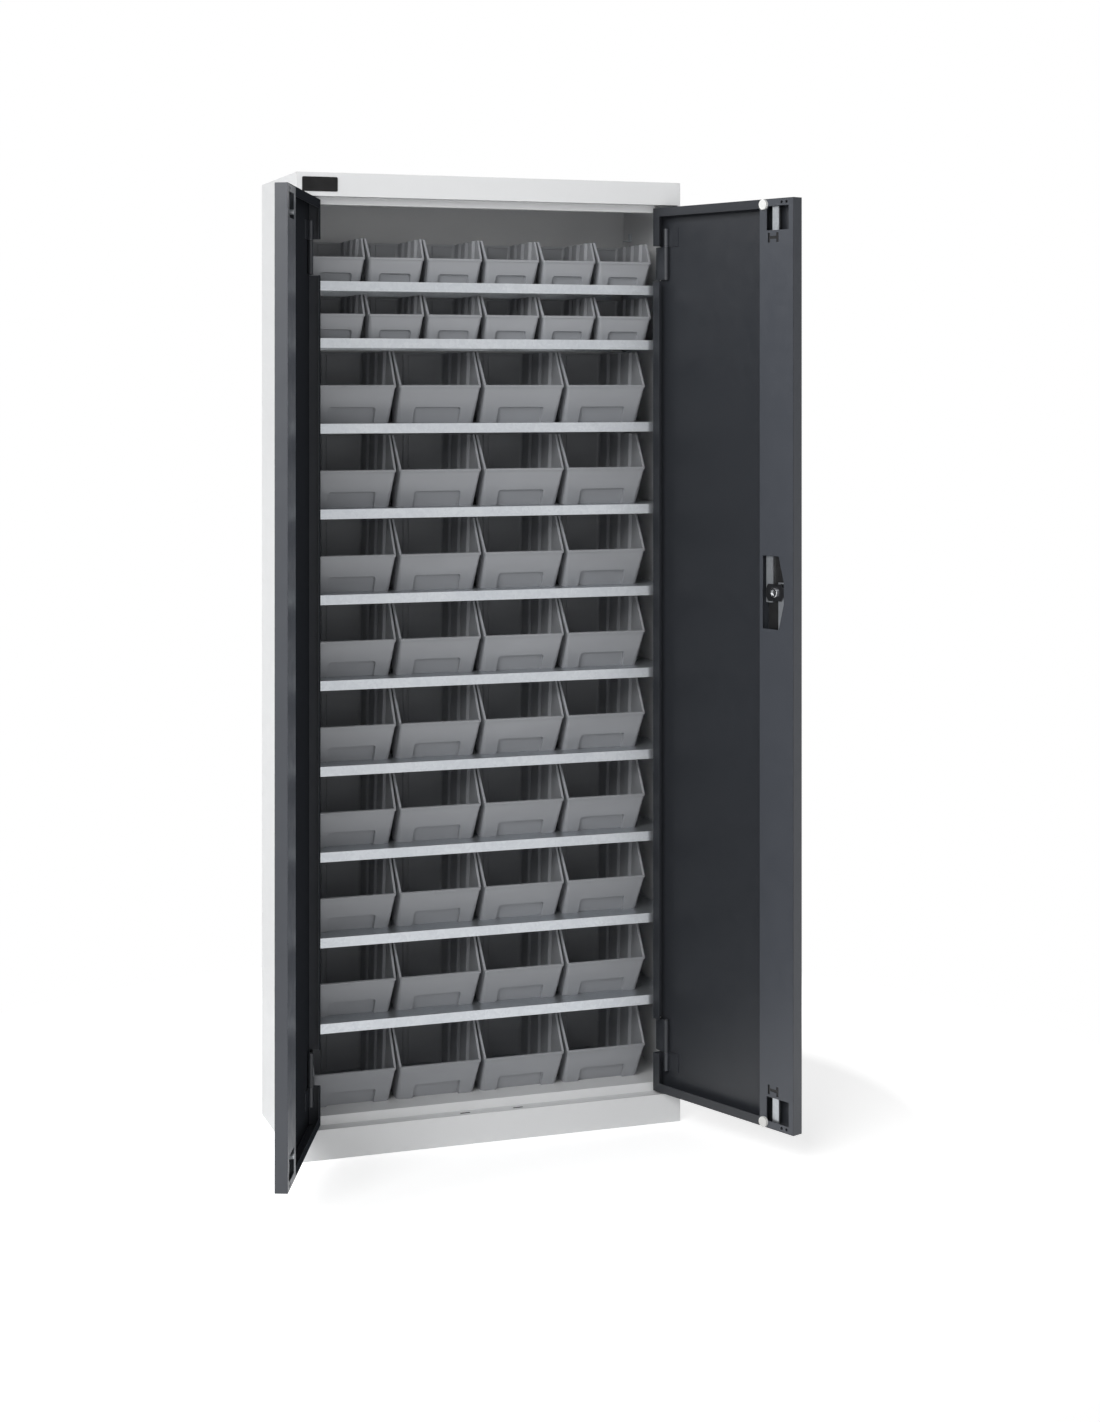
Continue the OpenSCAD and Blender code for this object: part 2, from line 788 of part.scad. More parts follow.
module left_door_skin() {
    left_open() door_skin();
}

module left_door_stiffener() {
    left_open() door_stiffener(false);
}

module left_hinge_leaves() {
    left_open() hinge_leaves();
}

module left_bolt_guides() {
    left_open() rod_guides();
}

// The lower hand bolt, with a stud to push it by
module hand_bolt() {
    y0 = front_y + rod_y;
    z0 = door_z0 + rod_tip;
    color("silver") {
        box([rod_s - rod_w / 2, y0, z0], [rod_s + rod_w / 2, y0 + rod_t, z0 + bolt_len]);
        bar_y(stud_r, rod_s, z0 + stud_from_tip, y0 + rod_t, door_y + stud_out);
    }
}

module left_bottom_bolt() {
    left_open() hand_bolt();
}

module left_top_bolt() {
    left_open() translate([0, 0, door_z0 + door_z1]) mirror([0, 0, 1]) hand_bolt();
}

// The holes for the spindle and the key cylinder, as much larger as asked
module lock_bores(y0, y1, larger) {
    bar_y(spindle_r + larger, rod_s, lock_z, y0 - past, y1 + past);
    bar_y(key_r + larger, rod_s, lock_z + key_up, y0 - past, y1 + past);
}

module right_door_skin() {
    right_open() difference() {
        door_skin();
        lock_bores(front_y, front_y + sheet, sheet);
    }
}

// The lock opening is widest beside the cam, on the side of the free edge
module right_door_stiffener() {
    in_s = lock_open_w / 2;
    end_s = in_s - lock_open_end_w;
    end_z = lock_open_h / 2;
    mid_z = lock_open_mid_h / 2;
    right_open() difference() {
        door_stiffener(true);
        translate([rod_s, 0, lock_z]) along_y(door_y - sheet - past, door_y + past) polygon([
            [in_s, end_z], [end_s, end_z], [-in_s, mid_z], [-in_s, -mid_z], [end_s, -end_z],
            [in_s, -end_z]
        ]);
    }
}

module right_hinge_leaves() {
    right_open() hinge_leaves();
}

module right_door_buffers() {
    color("white") right_open() both_ends()
        bar_y(buffer_r, buffer_s, door_z0 + buffer_end, door_y, door_y + buffer_t);
}

module right_rod_guides() {
    right_open() rod_guides();
}

// ---- Lock of the right door

// The upper rod, drawn from the spindle's axis, with its slot for the cam's pin at its foot
module rod(len) {
    mid_s = (cam_x + cam_r) / 2;
    in_s = mid_s - slot_half_s - rod_rim;
    out_s = mid_s + slot_half_s + rod_rim;
    foot = -cam_x - slot_half_z - rod_rim;
    line_z = crank_from + crank_len;
    color("silver") along_y(front_y + rod_y, front_y + rod_y + rod_t) difference() {
        polygon([
            [in_s, foot], [out_s, foot], [out_s, crank_from], [rod_w / 2, line_z],
            [rod_w / 2, len], [-rod_w / 2, len], [-rod_w / 2, line_z], [in_s, crank_from]
        ]);
        translate([mid_s, -cam_x])
            square([slot_half_s + slot_half_s, slot_half_z + slot_half_z], center = true);
    }
}

module upper_rod() {
    right_open() translate([rod_s, 0, lock_z]) rod(door_z1 - rod_tip - lock_z);
}

module lower_rod() {
    right_open() translate([rod_s, 0, lock_z]) rotate([0, 180, 0])
        rod(lock_z - door_z0 - rod_tip);
}

// The black case between the door's front and the rods
module lock_case() {
    y0 = front_y + sheet;
    y1 = front_y + rod_y - rod_clear;
    color("black") right_open() difference() {
        box([rod_s - plate_w / 2, y0, lock_z - lock_open_h / 2],
            [rod_s + plate_w / 2, y1, lock_z + lock_open_h / 2]);
        lock_bores(y0, y1, pin_clear);
    }
}

module lock_spindle() {
    color("lightgray") right_open()
        bar_y(spindle_r, rod_s, lock_z, front_y - plate_t - lever_gap - lever_t / 2,
            front_y + cam_y + cam_t);
}

// The cam, a disc cut flat above and below, with the two pins that move the rods
module lock_cam() {
    y0 = front_y + cam_y;
    half_z = cam_x + cam_pin_r;
    color("dimgray") right_open() {
        difference() {
            bar_y(cam_plate_r, rod_s, lock_z, y0, y0 + cam_t);
            bar_y(spindle_r, rod_s, lock_z, y0 - past, y0 + cam_t + past);
            for (side = [0, 1]) translate([rod_s, 0, lock_z]) mirror([0, 0, side])
                box([-cam_plate_r - past, y0 - past, half_z],
                    [cam_plate_r + past, y0 + cam_t + past, cam_plate_r + past]);
        }
        for (side = [-1, 1])
            bar_y(cam_pin_r, rod_s + side * cam_x, lock_z - side * cam_x, front_y + rod_y, y0);
    }
}

module lock_nut() {
    y0 = front_y + cam_y + cam_t;
    color("white") right_open() bar_y(nut_r, rod_s, lock_z, y0, y0 + nut_t);
}

module handle_plate() {
    corner_s = plate_w / 2 - plate_r;
    color("black") right_open() difference() {
        along_y(front_y - plate_t, front_y) hull()
            for (s = [-corner_s, corner_s], z = [plate_r - plate_down, plate_up - plate_r])
                translate([rod_s + s, lock_z + z]) circle(r = plate_r, $fn = 32);
        lock_bores(front_y - plate_t, front_y, pin_clear);
    }
}

// The lever hangs down at rest
module handle_lever() {
    y1 = front_y - plate_t - lever_gap;
    color("black") right_open() difference() {
        along_y(y1 - lever_t, y1) hull() {
            translate([rod_s, lock_z]) circle(r = lever_w / 2, $fn = 32);
            translate([rod_s, lock_z - lever_len + lever_tip_w / 2])
                circle(r = lever_tip_w / 2, $fn = 32);
        }
        bar_y(spindle_r, rod_s, lock_z, y1 - lever_t / 2, y1 + past);
    }
}

module key_cylinder() {
    y0 = front_y - plate_t - key_out;
    z = lock_z + key_up;
    color("lightgray") right_open() difference() {
        bar_y(key_r, rod_s, z, y0, front_y + rod_y - rod_clear);
        box([rod_s - key_slot_w / 2, y0 - past, z - key_r / 2],
            [rod_s + key_slot_w / 2, y0 + key_out, z + key_r / 2]);
    }
}

// ---- What is drawn

left_side();
right_side();
back_panel();
roof_fascia();
plinth();
floor_panel();
blank_badge();
for (k = [1 : shelves]) shelf(k);
left_shelf_clips();
right_shelf_clips();
hinge_brackets();
hinge_pins();
hinge_screws();
for (k = [1 : rows]) bins_row(k);
small_end_bins();
large_end_bins();
left_door_skin();
left_door_stiffener();
left_hinge_leaves();
left_bolt_guides();
left_top_bolt();
left_bottom_bolt();
right_door_skin();
right_door_stiffener();
right_hinge_leaves();
right_door_buffers();
right_rod_guides();
upper_rod();
lower_rod();
lock_case();
lock_spindle();
lock_cam();
lock_nut();
handle_plate();
handle_lever();
key_cylinder();
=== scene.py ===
"""Looks of the parts bin cabinet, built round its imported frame.

The scene is in metres.  Forms are written in millimetres, and MM turns them into metres.
"""
import json
import math

import bmesh
import bpy
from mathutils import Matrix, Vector


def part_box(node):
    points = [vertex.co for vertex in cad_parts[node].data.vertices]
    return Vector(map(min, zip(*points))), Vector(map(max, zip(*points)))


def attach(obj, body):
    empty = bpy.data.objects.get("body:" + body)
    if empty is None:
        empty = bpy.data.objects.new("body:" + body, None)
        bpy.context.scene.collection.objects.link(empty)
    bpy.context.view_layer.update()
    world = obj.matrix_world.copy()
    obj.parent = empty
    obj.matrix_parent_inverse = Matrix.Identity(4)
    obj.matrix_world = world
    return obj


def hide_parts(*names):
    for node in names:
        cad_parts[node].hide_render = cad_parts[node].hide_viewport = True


MM = 0.001
WHITE = (1, 1, 1, 1)

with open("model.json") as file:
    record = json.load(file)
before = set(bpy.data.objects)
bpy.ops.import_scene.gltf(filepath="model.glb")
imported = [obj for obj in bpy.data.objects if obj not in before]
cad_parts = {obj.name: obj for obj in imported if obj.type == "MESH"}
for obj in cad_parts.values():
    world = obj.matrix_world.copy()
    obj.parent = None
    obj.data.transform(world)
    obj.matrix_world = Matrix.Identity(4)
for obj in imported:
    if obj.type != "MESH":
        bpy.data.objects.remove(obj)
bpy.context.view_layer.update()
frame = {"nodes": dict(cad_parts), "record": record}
nodes = frame["nodes"]


# ---- Materials

# Socket numbers of a colour mix, because its kinds of mix share their sockets' names
MIX_FACTOR, MIX_A, MIX_B, MIX_COLOUR = 0, 6, 7, 2

# The usual range of a noise
NOISE_LOW, NOISE_HIGH = 0.3, 0.7

# A face starts to look along a direction, and does fully, at these dot products; they mask the
# painted shade on the doors' inner faces
ALONG_FROM, ALONG_FULL = 0.7, 0.95

# The specular level of every face outside that painted shade
SPECULAR = 0.5


def linear(r, g, b):
    """An sRGB colour of 0 to 255 as linear RGBA."""
    return tuple(((c / 255 + 0.055) / 1.055) ** 2.4 for c in (r, g, b)) + (1.0,)


def scaled(shade, factor):
    """A colour made lighter or darker."""
    return tuple(min(1.0, c * factor) for c in shade[:3]) + (1.0,)


class Material:
    """A node material round one Principled shader, with object coordinates in metres."""

    def __init__(self, name, roughness, metallic=0.0):
        self.mat = bpy.data.materials.new(name)
        self.mat.use_nodes = True
        self.tree = self.mat.node_tree
        self.shader = self.tree.nodes["Principled BSDF"]
        self.shader.inputs["Roughness"].default_value = roughness
        self.shader.inputs["Metallic"].default_value = metallic
        source = self.tree.nodes.new("ShaderNodeTexCoord")
        self.coords = source.outputs["Object"]
        self.normal = source.outputs["Normal"]

    def put(self, socket, value):
        """Set a socket to a value, or link it to another socket."""
        if isinstance(value, bpy.types.NodeSocket):
            self.tree.links.new(value, socket)
        else:
            socket.default_value = value

    def node(self, kind, inputs=None, **settings):
        made = self.tree.nodes.new(kind)
        for key, value in settings.items():
            setattr(made, key, value)
        for key, value in (inputs or {}).items():
            self.put(made.inputs[key], value)
        return made

    def stretched(self, x, y, z):
        """The object coordinates times a factor along each axis."""
        return self.node("ShaderNodeMapping", {"Vector": self.coords,
                                               "Scale": (x, y, z)}).outputs[0]

    def noise(self, scale, detail, vector=None):
        """A noise with about so many humps to a metre."""
        return self.node("ShaderNodeTexNoise", {"Vector": vector or self.coords, "Scale": scale,
                                                "Detail": detail}).outputs["Fac"]

    def ramp(self, noise, low, high):
        """One colour to another over a noise's usual range."""
        made = self.node("ShaderNodeValToRGB", {"Fac": noise})
        stops = ((NOISE_LOW, low), (NOISE_HIGH, high))
        for element, (place, colour) in zip(made.color_ramp.elements, stops):
            element.position = place
            element.color = colour
        return made.outputs["Color"]

    def map(self, value, low, high, to_low, to_high):
        return self.node("ShaderNodeMapRange", {"Value": value, "From Min": low, "From Max": high,
                                                "To Min": to_low, "To Max": to_high}).outputs[0]

    def vary(self, noise, to_low, to_high):
        """One number to another over a noise's usual range."""
        return self.map(noise, NOISE_LOW, NOISE_HIGH, to_low, to_high)

    def mix(self, fac, a, b, blend="MIX"):
        return self.node("ShaderNodeMix", {MIX_FACTOR: fac, MIX_A: a, MIX_B: b},
                         data_type="RGBA", blend_type=blend).outputs[MIX_COLOUR]

    def colour(self, value):
        self.put(self.shader.inputs["Base Color"], value)

    def roughness(self, value):
        self.put(self.shader.inputs["Roughness"], value)

    def bump(self, height, distance, strength):
        made = self.node("ShaderNodeBump", {"Height": height, "Distance": distance,
                                            "Strength": strength})
        self.put(self.shader.inputs["Normal"], made.outputs["Normal"])


def powder_coat(name, shade, spread, roughness, painted_dark_faces=None):
    """Powder coating: a fine orange peel, and slow changes of shade and gloss.

    The last argument, if given, is (normal, factor, specular): the faces that look along the
    normal get their colour times the factor and that specular level, as painted shade on the
    doors' inner faces."""
    m = Material(name, roughness)
    coat = m.ramp(m.noise(3.0, detail=3.0), scaled(shade, 1 - spread), scaled(shade, 1 + spread))
    # Painted shade: faces along the given normal are darkened and their specular level changed
    if painted_dark_faces:
        normal, factor, specular = painted_dark_faces
        along = m.node("ShaderNodeVectorMath", {0: m.normal, 1: normal},
                       operation="DOT_PRODUCT").outputs["Value"]
        shaded = m.mix(1.0, coat, (factor, factor, factor, 1.0), "MULTIPLY")
        coat = m.mix(m.map(along, ALONG_FROM, ALONG_FULL, 0.0, 1.0), coat, shaded)
        m.put(m.shader.inputs["Specular IOR Level"],
              m.map(along, ALONG_FROM, ALONG_FULL, SPECULAR, specular))
    m.colour(coat)
    m.roughness(m.vary(m.noise(45.0, detail=4.0), roughness - 0.05, roughness + 0.06))
    m.bump(m.noise(420.0, detail=3.0), distance=0.12 * MM, strength=0.35)
    return m.mat


def galvanised(name, roughness):
    """Hot-dip zinc: crystals of a few millimetres, each with its own shade, under slow clouds."""
    m = Material(name, roughness, metallic=0.85)
    wander = m.node("ShaderNodeTexNoise", {"Vector": m.coords, "Scale": 60.0}).outputs["Color"]
    crystals = m.node("ShaderNodeTexVoronoi", {"Vector": m.mix(0.02, m.coords, wander),
                                               "Scale": 210.0}).outputs["Color"]
    shade = m.node("ShaderNodeSeparateColor", {"Color": crystals}).outputs[0]
    cloud = m.noise(9.0, detail=4.0)
    light = m.mix(shade, linear(196, 200, 205), linear(206, 210, 214))
    m.colour(m.mix(m.map(cloud, 0.35, 0.65, 0.0, 0.3), light, linear(187, 192, 198)))
    m.roughness(m.vary(cloud, roughness - 0.03, roughness + 0.04))
    return m.mat


def moulded(name, shade, roughness, grain=900.0):
    """Moulded plastic: a fine even grain with faint flow marks."""
    m = Material(name, roughness)
    flow = m.noise(6.0, detail=3.0, vector=m.stretched(1.0, 0.5, 4.0))
    m.colour(m.ramp(flow, scaled(shade, 0.955), scaled(shade, 1.045)))
    m.roughness(m.vary(m.noise(70.0, detail=3.0), roughness - 0.04, roughness + 0.05))
    m.bump(m.noise(grain, detail=2.0), distance=0.06 * MM, strength=0.3)
    return m.mat


def plated(name, shade, roughness):
    """Bright plated metal with faint rubbing marks."""
    m = Material(name, roughness, metallic=1.0)
    rub = m.noise(300.0, detail=4.0, vector=m.stretched(1.0, 1.0, 8.0))
    m.colour(m.mix(m.vary(rub, 0.0, 1.0), scaled(shade, 0.9), shade))
    m.roughness(m.vary(rub, roughness - 0.05, roughness + 0.08))
    m.bump(rub, distance=0.02 * MM, strength=0.3)
    return m.mat


# The doors stand open at this angle, and these are the normals of their inner faces
OPEN = math.radians(112)
RIGHT_IN = Vector((-math.sin(OPEN), math.cos(OPEN), 0))
LEFT_IN = Vector((math.sin(OPEN), math.cos(OPEN), 0))

DOOR = linear(66, 69, 75)
DOOR_SPREAD, DOOR_ROUGH = 0.04, 0.36

# What makes each finish, and what it is given after the name
RECIPES = {
    "carcass_paint": (powder_coat, linear(220, 221, 222), 0.012, 0.42),
    "door_paint": (powder_coat, scaled(DOOR, 1.1), DOOR_SPREAD, DOOR_ROUGH),
    # The hinge brackets: the door's dark paint, made darker still as painted shade where they
    # show in the hinge notch
    "bracket_paint": (powder_coat, scaled(DOOR, 0.6), DOOR_SPREAD, 0.45),
    # The left door's stiffener: the door paint made much lighter, as painted light
    "left_stiffener": (powder_coat, scaled(DOOR, 1.9), DOOR_SPREAD, DOOR_ROUGH),
    # The door skins: a darker copy of the door paint, with their inner faces darker still and
    # their gloss changed, all painted shade
    "right_skin": (powder_coat, scaled(DOOR, 0.9), DOOR_SPREAD, DOOR_ROUGH,
                   (RIGHT_IN, 0.58, 0.45)),
    "left_skin": (powder_coat, scaled(DOOR, 0.9), DOOR_SPREAD, DOOR_ROUGH, (LEFT_IN, 0.6, 0.0)),
    "galvanised": (galvanised, 0.38),
    "dark_steel": (plated, linear(96, 97, 100), 0.34),
    "bin_plastic": (moulded, linear(155, 157, 161), 0.45),
    "white_plastic": (moulded, linear(222, 222, 219), 0.4),
    "black_plastic": (moulded, linear(28, 28, 29), 0.42, 700.0),
    "badge_plastic": (moulded, linear(16, 16, 17), 0.2),
    "bright_metal": (plated, linear(205, 206, 208), 0.22),
}
FINISH = {name: maker(name, *given) for name, (maker, *given) in RECIPES.items()}


# ---- Mesh tools

EDGE_SEGMENTS = 2


def to_metres(bm):
    bmesh.ops.scale(bm, vec=(MM, MM, MM), verts=bm.verts)


def join(bm, low, high, closed=False):
    """Four-sided faces between two rows of vertices, or between two closed loops."""
    if closed:
        low, high = low + low[:1], high + high[:1]
    for i in range(len(low) - 1):
        bm.faces.new((low[i], low[i + 1], high[i + 1], high[i]))


def arc(cx, cy, r, start, end, steps):
    """Points on an arc from one angle to another, in degrees."""
    return [(cx + r * math.cos(math.radians(start + (end - start) * i / steps)),
             cy + r * math.sin(math.radians(start + (end - start) * i / steps)))
            for i in range(steps + 1)]


def mesh_from(name, bm):
    """A mesh from bm, which it frees."""
    mesh = bpy.data.meshes.new(name)
    bm.to_mesh(mesh)
    bm.free()
    return mesh


def add_object(name, data):
    made = bpy.data.objects.new(name, data)
    bpy.context.scene.collection.objects.link(made)
    return made


def mesh_piece(name, bm, slot, body):
    """An object from bm, whose lengths are in millimetres, that rides on a body."""
    to_metres(bm)
    mesh = mesh_from(name, bm)
    piece = add_object(name, mesh)
    mesh.materials.append(FINISH[slot])
    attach(piece, body)
    return piece


def smooth(mesh, degrees):
    """Smooth shading, but for the edges that turn by more than so many degrees."""
    mesh.shade_smooth()
    mesh.set_sharp_from_angle(angle=math.radians(degrees))


def round_edges(piece, width, degrees=35):
    """Soften the edges that turn by more than so many degrees, by a width in millimetres."""
    bevel = piece.modifiers.new("edges", "BEVEL")
    bevel.width = width * MM
    bevel.segments = EDGE_SEGMENTS
    bevel.limit_method = "ANGLE"
    bevel.angle_limit = math.radians(degrees)


# ---- Lock

TURN_STEPS = 48
TURNED_SHARP = 30
NUT_T = 4.0
KEY_LONG = 16.4

# (radius, height) of each ring, and its number of sides where it is a polygon
NUT_RINGS = ((8.3, 0), (8.3, NUT_T - 0.9), (7.5, NUT_T), (4.9, NUT_T, 6), (4.9, 1.6, 6))
BOSS_RINGS = ((9.5, 0.02), (9.5, 0.3), (9.2, 0.5), (7.2, 0.5), (6.9, 0.2))


def turned(name, rings, centre, axis, slot, body):
    """A closed piece from rings like those above, which stand on a centre along an axis."""
    bm = bmesh.new()
    turn = Vector((0, 0, 1)).rotation_difference(axis).to_matrix()
    loops = []
    for radius, height, *sides in rings:
        loop = []
        for i in range(TURN_STEPS):
            angle = math.tau * i / TURN_STEPS
            r = radius
            if sides:
                side = math.tau / sides[0]
                r = radius * math.cos(side / 2) / math.cos(angle % side - side / 2)
            flat = Vector((r * math.cos(angle), r * math.sin(angle), height))
            loop.append(bm.verts.new(Vector(centre) / MM + turn @ flat))
        loops.append(loop)
    for low, high in zip(loops, loops[1:]):
        join(bm, low, high, closed=True)
    bm.faces.new(loops[0][::-1])
    bm.faces.new(loops[-1])
    bmesh.ops.recalc_face_normals(bm, faces=bm.faces)
    piece = mesh_piece(name, bm, slot, body)
    smooth(piece.data, TURNED_SHARP)
    return piece


def centre_of(node):
    low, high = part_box(node)
    return (low + high) / 2


body_of = {n: b for b, members in frame["record"]["behaviour"]["bodies"].items() for n in members}
nut = turned("lock_nut_turned", NUT_RINGS, centre_of("lock_nut") - RIGHT_IN * NUT_T / 2 * MM,
             RIGHT_IN, "bright_metal", body_of["lock_nut"])
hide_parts("lock_nut")
turned("lock_case_boss", BOSS_RINGS, centre_of("key_cylinder") + RIGHT_IN * KEY_LONG / 2 * MM,
       RIGHT_IN, "black_plastic", "right_door")


# ---- Cups under the plinth's two slots, for the left bottom bolt and the lower rod; their black is painted shade, so the slots look like dark hollows

SLOT_X, SLOT_Y = 47, 2.5
SLOT_HALF_W, SLOT_HALF_D = 9, 3.5
CUP_TOP, CUP_FOOT = 48.95, 22
CUP_CLEAR, CUP_WALL = 0.2, 1


def cup(side, x):
    """A box without a lid under a slot of the plinth's ledge."""
    bm = bmesh.new()
    outer = CUP_CLEAR + CUP_WALL
    loops = [[bm.verts.new((x + sx * (SLOT_HALF_W + grow), SLOT_Y + sy * (SLOT_HALF_D + grow), z))
              for sx, sy in ((-1, -1), (1, -1), (1, 1), (-1, 1))]
             for grow, z in ((outer, CUP_TOP), (outer, CUP_FOOT),
                             (CUP_CLEAR, CUP_FOOT + CUP_WALL), (CUP_CLEAR, CUP_TOP))]
    bm.faces.new(loops[1])
    bm.faces.new(loops[2])
    for a, b in ((0, 1), (2, 3), (3, 0)):
        join(bm, loops[a], loops[b], closed=True)
    bmesh.ops.recalc_face_normals(bm, faces=bm.faces)
    # Black plastic: painted shade that darkens the slot above the cup
    mesh_piece("rod_cup_" + side, bm, "black_plastic", body_of["plinth"])


cup("left", -SLOT_X)
cup("right", SLOT_X)


# ---- Bins

WALL = 2.2
GAP = 2                                 # between neighbours
TAPER = 4.0                             # how far a side leans in from the top to the foot
RIM_OUT, RIM_IN, RIM_H = 1.5, 0.2, 4.0  # what the rim adds to the wall on either side, its height
FOOT_R, LIP_R, BACK_R = 9, 3, 8         # corners in plan: front at the foot and lip, and back
LIP_CUT = 0.9                           # of the rim at the lip's corner
GROOVE = ((5, 0), (3, 2))               # (half width, depth) of the groove down the back
RIBS = 3                                # inward steps of each side wall
RIB_IN, RIB_SLOPE = 4.0, 5.0            # how far a rib steps in, and over what length
RIBS_FRONT, RIBS_BACK = 4, 12           # what is left plain in front of the ribs and behind them
GRIP_IN, GRIP_R, GRIP_DRAFT = 7.0, 4.5, 0.8
ARC_STEPS, SMALL_ARC_STEPS = 8, 4
MERGE = 0.01

# Softened edges: their width, and the degrees of turn from which walls and rim have them
BIN_EDGE, WALL_EDGE_TURN, RIM_EDGE_TURN = 0.5, 40, 50
BIN_SHARP = 18


class BinForm:
    """One kind of bin.

    lip is the height of its front, which leans out by lean.  Its edge rises over a depth of rise
    from the lip to the top.  The grip is the recess at the foot of its front."""

    def __init__(self, pitch, depth, height, lip, lean, rise, grip_w, grip_h, rib_w):
        self.pitch, self.depth, self.height, self.lip = pitch, depth, height, lip
        self.lean, self.rise, self.grip_w, self.grip_h = lean, rise, grip_w, grip_h
        self.rib_w = rib_w
        self.body = (pitch - GAP) / 2 - RIM_OUT

    def half(self, z):
        """Half the width over the walls at height z."""
        return self.body - TAPER * (1 - z / self.height)


FORM = {
    "large": BinForm(pitch=150, depth=228, height=122, lip=64, lean=34, rise=46,
                     grip_w=82, grip_h=27, rib_w=32),
    "small": BinForm(pitch=103, depth=163, height=74.5, lip=41, lean=16, rise=26,
                     grip_w=55, grip_h=15, rib_w=22),
}


def bin_plan(form, z, corner_r, front_y):
    """The outline of a bin's walls at height z, from the front left round the back."""
    w = form.half(z)
    left = [(-w, front_y + corner_r)]
    ribbed = form.depth - form.rise - RIBS_FRONT - RIBS_BACK
    for i in range(RIBS):
        y = form.rise + (i + 0.5) / RIBS * ribbed + RIBS_FRONT
        near, far = y - form.rib_w / 2, y + form.rib_w / 2
        left += [(-w, near), (-w + RIB_IN, near + RIB_SLOPE),
                 (-w + RIB_IN, far - RIB_SLOPE), (-w, far)]
    left += arc(-w + BACK_R, form.depth - BACK_R, BACK_R, 180, 90, ARC_STEPS)
    left += [(-half, form.depth - deep) for half, deep in GROOVE]
    return left + [(-x, y) for x, y in reversed(left)]


def bin_shell(form):
    """One bin's walls and floor, lip at y = 0, foot at z = 0."""
    bm = bmesh.new()
    # Height, radius of the front corners and place of the front, at the foot, lip and top
    levels = ((0, FOOT_R, form.lean), (form.lip, LIP_R, 0), (form.height, 0, form.rise))
    foot, mid, top = ([bm.verts.new((x, y, z)) for x, y in bin_plan(form, z, r, front)]
                      for z, r, front in levels)
    join(bm, foot, mid)
    join(bm, mid, top)

    corners = []
    for side in (-1, 1):
        low, high = ([bm.verts.new((side * x, y, z))
                      for x, y in arc(form.half(z) - r, front + r, r, 0, -90, ARC_STEPS)]
                     for z, r, front in levels[:2])
        join(bm, low, high)
        corners.append((low, high))

    def on_front(x, z, into=0.0):
        return bm.verts.new((x, form.lean * (1 - z / form.lip) + into, z))

    # The grip's outline from the foot up, over and down again
    half = form.grip_w / 2
    right = [(half, 0)] + arc(half - GRIP_R, form.grip_h - GRIP_R, GRIP_R, 0, 90, SMALL_ARC_STEPS)
    outline = [(-x, z) for x, z in right] + right[::-1]
    edge = [on_front(x, z) for x, z in outline]
    inner = [on_front(x * (1 - GRIP_DRAFT / half), z * (1 - GRIP_DRAFT / form.grip_h), GRIP_IN)
             for x, z in outline]
    join(bm, edge, inner)
    bm.faces.new(inner)

    # The front and the floor, both round the grip
    (low_l, high_l), (low_r, high_r) = corners
    bm.faces.new([low_l[-1]] + edge + [low_r[-1], high_r[-1], high_l[-1]])
    bm.faces.new(foot + low_r[1:] + [edge[-1], inner[-1], inner[0], edge[0]] + low_l[:0:-1])
    bmesh.ops.remove_doubles(bm, verts=bm.verts, dist=MERGE)
    bmesh.ops.recalc_face_normals(bm, faces=bm.faces)
    floor = min(bm.faces, key=lambda face: face.calc_center_median().z)
    if floor.normal.z > 0:
        bmesh.ops.reverse_faces(bm, faces=bm.faces)
    return bm


def bin_rim(form):
    """The rim round a bin's mouth, along the lip, up the slanted edges and round the back."""
    bm = bmesh.new()
    w_lip, w_top = form.half(form.lip), form.half(form.height)
    down_front = (0, form.lean / form.lip * RIM_H, -RIM_H)
    # Each place with its way out, in plan, and its way down to the rim's foot
    left = [((0, 0, form.lip), (0, -1), down_front),
            ((-w_lip + LIP_R, 0, form.lip), (0, -1), down_front),
            ((-w_lip + LIP_CUT, LIP_CUT, form.lip), (-0.7, -0.7), down_front),
            ((-w_lip, LIP_R, form.lip), (-1, 0), down_front),
            ((-w_top, form.rise, form.height), (-1, 0), (0, RIM_H, -RIM_H))]
    for x, y in arc(-w_top + BACK_R, form.depth - BACK_R, BACK_R, 180, 90, SMALL_ARC_STEPS):
        out = Vector((x + w_top - BACK_R, y - form.depth + BACK_R)).normalized()
        left.append(((x, y - RIM_OUT * out.y, form.height), tuple(out), (0, 0, -RIM_H)))
    path = left + [((-x, y, z), (-out_x, out_y), down)
                   for (x, y, z), (out_x, out_y), down in reversed(left[1:])]
    rings = []
    for place, out, down in path:
        place, out, down = Vector(place), Vector((*out, 0)), Vector(down)
        inside, outside = place - out * (WALL + RIM_IN), place + out * RIM_OUT
        rings.append([bm.verts.new(v) for v in (inside, outside, outside + down, inside + down)])
    for ring, after in zip(rings, rings[1:] + rings[:1]):
        join(bm, ring, after, closed=True)
    bmesh.ops.recalc_face_normals(bm, faces=bm.faces)
    return bm


def solid_bin(form):
    """The mesh of one bin in metres: thin walls, floor and rim with softened edges."""
    shell = bin_shell(form)
    to_metres(shell)
    work = add_object("bin_walls", mesh_from("bin_walls", shell))
    thick = work.modifiers.new("walls", "SOLIDIFY")
    thick.thickness = WALL * MM
    thick.offset = -1
    round_edges(work, BIN_EDGE, WALL_EDGE_TURN)
    bpy.context.view_layer.update()
    graph = bpy.context.evaluated_depsgraph_get()
    walls = bpy.data.meshes.new_from_object(work.evaluated_get(graph))
    bpy.data.objects.remove(work)

    rim = bin_rim(form)
    to_metres(rim)
    edges = [e for e in rim.edges if e.calc_face_angle(0) > math.radians(RIM_EDGE_TURN)]
    bmesh.ops.bevel(rim, geom=edges, offset=BIN_EDGE * MM, segments=EDGE_SEGMENTS,
                    affect="EDGES", profile=0.5)
    rim.from_mesh(walls)
    return mesh_from("bin", rim)


BIN_MESH = {kind: solid_bin(form) for kind, form in FORM.items()}


